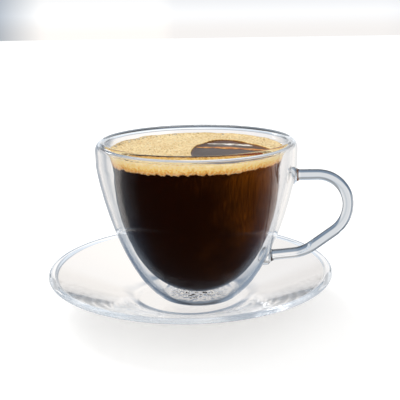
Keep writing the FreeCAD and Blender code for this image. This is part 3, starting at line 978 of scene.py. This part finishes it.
bubble_film = film_material(
    "coffee_oil_film", [(0.0, "A88850"), (0.35, "CDB47A"), (0.7, "E8DAAE"), (1.0, "FFF8E0")],
    Roughness=0.22, IOR=1.35)
clear_film = film_material(
    "clear_bubble_film", [(0.0, "E8D8A8"), (1.0, "FFFFFF")],
    Roughness=0.0, IOR=1.33, **{"Transmission Weight": 0.7})
# painted highlight: the pale streak's film, nearly white
painted_highlight_material = film_material(
    "painted_highlight_film", [(0.35, "9A8A78"), (0.46, "CDC0AC"), (0.55, "EEE6D8"), (0.7, "FFFCF4")],
    grain_mm=1.6, Roughness=0.2, IOR=1.34)
# painted reflection: the brown streak's film, in the colour of the foam that the coffee mirrors
painted_reflection_material = film_material(
    "painted_reflection_film", [(0.35, "7A3A0C"), (0.5, "C87820"), (0.65, "E8A850")],
    grain_mm=1.1, Roughness=0.35, IOR=1.34)
print("films", bubble_film.name, clear_film.name, painted_highlight_material.name, painted_reflection_material.name)

# %% Give each piece its material and its place
for piece, material, slot in ((foam_bubbles, bubble_film, "crema_foam"),
                              (clear_bubbles, clear_film, "crema_foam"),
                              (painted_highlight_streak, painted_highlight_material, "crema_foam"),
                              (painted_foam_reflection, painted_reflection_material, "crema_foam")):
    piece.data.materials.append(material)
    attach(piece, "root")
for piece, material, stands_for, slot in (
        (glass_cup, borosilicate, "cup", "clear_glass"),
        (glass_saucer, pressed_glass, "saucer", "clear_glass"),
        (coffee, black_coffee, "coffee", "black_coffee"),
        (crema, foam_material, "crema", "crema_foam")):
    piece.data.materials.append(material)
    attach(piece, "root")
    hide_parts(stands_for)

# %% [markdown]
# ## Studio
# A white table with soft light from high behind and to the left, so that the shadow falls
# softly to the front. Glass is drawn by what it mirrors and bends, and here that is the room
# alone: the table isn't seen in or through glass, and the main lamp isn't either. The room is a
# set of cards by height and by side. Its far half is white just under the horizon, where the
# dish is read against it, grey just over it, for the mirror on the bare coffee, and grey-blue
# further down and up, for the lines of the rims. Its near half is dark under the horizon, which
# keeps the coffee black. A small second lamp is left to show as a glint on the rim. A double
# wall and a drink make long light paths, so their limits are raised.

# %% Table
TABLE_HALF = 3000.0
table_points = np.array([(-1, -1), (1, -1), (1, 1), (-1, 1)]) * TABLE_HALF
table = make_piece("table", np.concatenate([table_points, np.full((4, 1), -0.05)], -1),
                   [(0, 1, 2, 3)])
table_material, tree = blank_material("lit_white_table")
shader = node(tree, "ShaderNodeBsdfPrincipled", {
    "Base Color": (0.55, 0.55, 0.55, 1.0), "Roughness": 1.0, "Specular IOR Level": 0.0,
    "Emission Color": (1.0, 0.985, 0.965, 1.0), "Emission Strength": 0.6})
node(tree, "ShaderNodeOutputMaterial", {"Surface": shader})
table.data.materials.append(table_material)
table.visible_glossy = False
table.visible_transmission = False
print("table", round(2 * TABLE_HALF), "mm wide")

# %% Room
world = bpy.data.worlds.new("studio")
world.use_nodes = True
bpy.context.scene.world = world
tree = world.node_tree
tree.nodes.clear()
sight = node(tree, "ShaderNodeTexCoord").outputs["Generated"]
split = node(tree, "ShaderNodeSeparateXYZ", {"Vector": sight})
height = node(tree, "ShaderNodeMapRange", {"Value": split.outputs["Z"], 1: -1.0, 2: 1.0})
flat_sight = node(tree, "ShaderNodeCombineXYZ", {"X": split.outputs["X"], "Y": split.outputs["Y"]})
level = node(tree, "ShaderNodeVectorMath", {0: flat_sight}, operation="NORMALIZE")
turn = node(tree, "ShaderNodeSeparateXYZ", {"Vector": level})
side = node(tree, "ShaderNodeMapRange", {"Value": turn.outputs["X"], 1: -1.0, 2: 1.0})
far_wall = node(tree, "ShaderNodeValToRGB", {"Fac": height},
                [(0.0, "5C6066"), (0.09, "5C6066"), (0.165, "8F9CAB"), (0.25, "8F9CAB"),
                 (0.29, "F6F2EE"), (0.49, "F6F2EE"), (0.5, "FFFFFF"), (0.53, "C8C9CA"),
                 (0.6, "ACAAA8"), (0.67, "ACAAA8"), (0.72, "D0D7DE"), (0.8, "D0D7DE"),
                 (0.9, "FFFFFF")])
cards = node(tree, "ShaderNodeValToRGB", {"Fac": side},
             [(0.0, "8A9098"), (0.07, "9CA3AB"), (0.11, "FFFFFF"), (0.2, "F4F4F4"),
              (0.27, "A8B2BE"), (0.37, "A8B2BE"), (0.4, "FFFFFF"), (0.475, "FFFFFF"),
              (0.485, "F4F5F7"), (0.62, "F4F5F7"), (0.68, "DCE1E6"), (0.8, "FFFFFF"),
              (0.89, "FFFFFF"), (0.93, "9CA3AB"), (1.0, "8A9098")])
behind = node(tree, "ShaderNodeMix", {"Factor": 1.0, 6: far_wall, 7: cards},
              data_type="RGBA", blend_type="MULTIPLY")
front = node(tree, "ShaderNodeValToRGB", {"Fac": height},
             [(0.0, "3C3C3E"), (0.46, "3C3C3E"), (0.5, "BCBCBC"), (0.56, "FFFFFF"),
              (0.93, "FFFFFF"), (1.0, "BCBCBC")])
forward = node(tree, "ShaderNodeMapRange", {"Value": turn.outputs["Y"], 1: -0.1, 2: 0.1})
room = node(tree, "ShaderNodeMix", {"Factor": forward, 6: front, 7: behind}, data_type="RGBA")
strength = node(tree, "ShaderNodeMapRange", {"Value": turn.outputs["Y"], 1: -0.3, 2: 0.1,
                                             3: 1.15, 4: 1.12})
background = node(tree, "ShaderNodeBackground", {"Color": room, "Strength": strength})
node(tree, "ShaderNodeOutputWorld", {"Surface": background})
print("room", len(tree.nodes), "nodes")

# %% Light paths
light_paths = bpy.context.scene.cycles
light_paths.max_bounces = 32
light_paths.glossy_bounces = 32
light_paths.transmission_bounces = 32
light_paths.diffuse_bounces = 6
print("light paths up to", light_paths.max_bounces, "bounces")


# %% Lamps
def softbox(name, place, aim, size, power):
    """A square lamp at place, turned to face aim, in millimetres and watts."""
    lamp = bpy.data.lights.new(name, "AREA")
    lamp.size = size * MM
    lamp.energy = power
    box = bpy.data.objects.new(name, lamp)
    sight = Vector(aim) - Vector(place)
    box.matrix_world = (Matrix.Translation(Vector(place) * MM)
                        @ sight.to_track_quat("-Z", "Y").to_matrix().to_4x4())
    bpy.context.scene.collection.objects.link(box)
    return box


key = softbox("key", (-400, 520, 650), (0, 0, 30), 500, 4.6)
key.visible_glossy = False
key.visible_transmission = False
window = softbox("window", (-620, 800, 560), (0, 0, 40), 170, 0.34)
print("lamps", key.name, window.name)
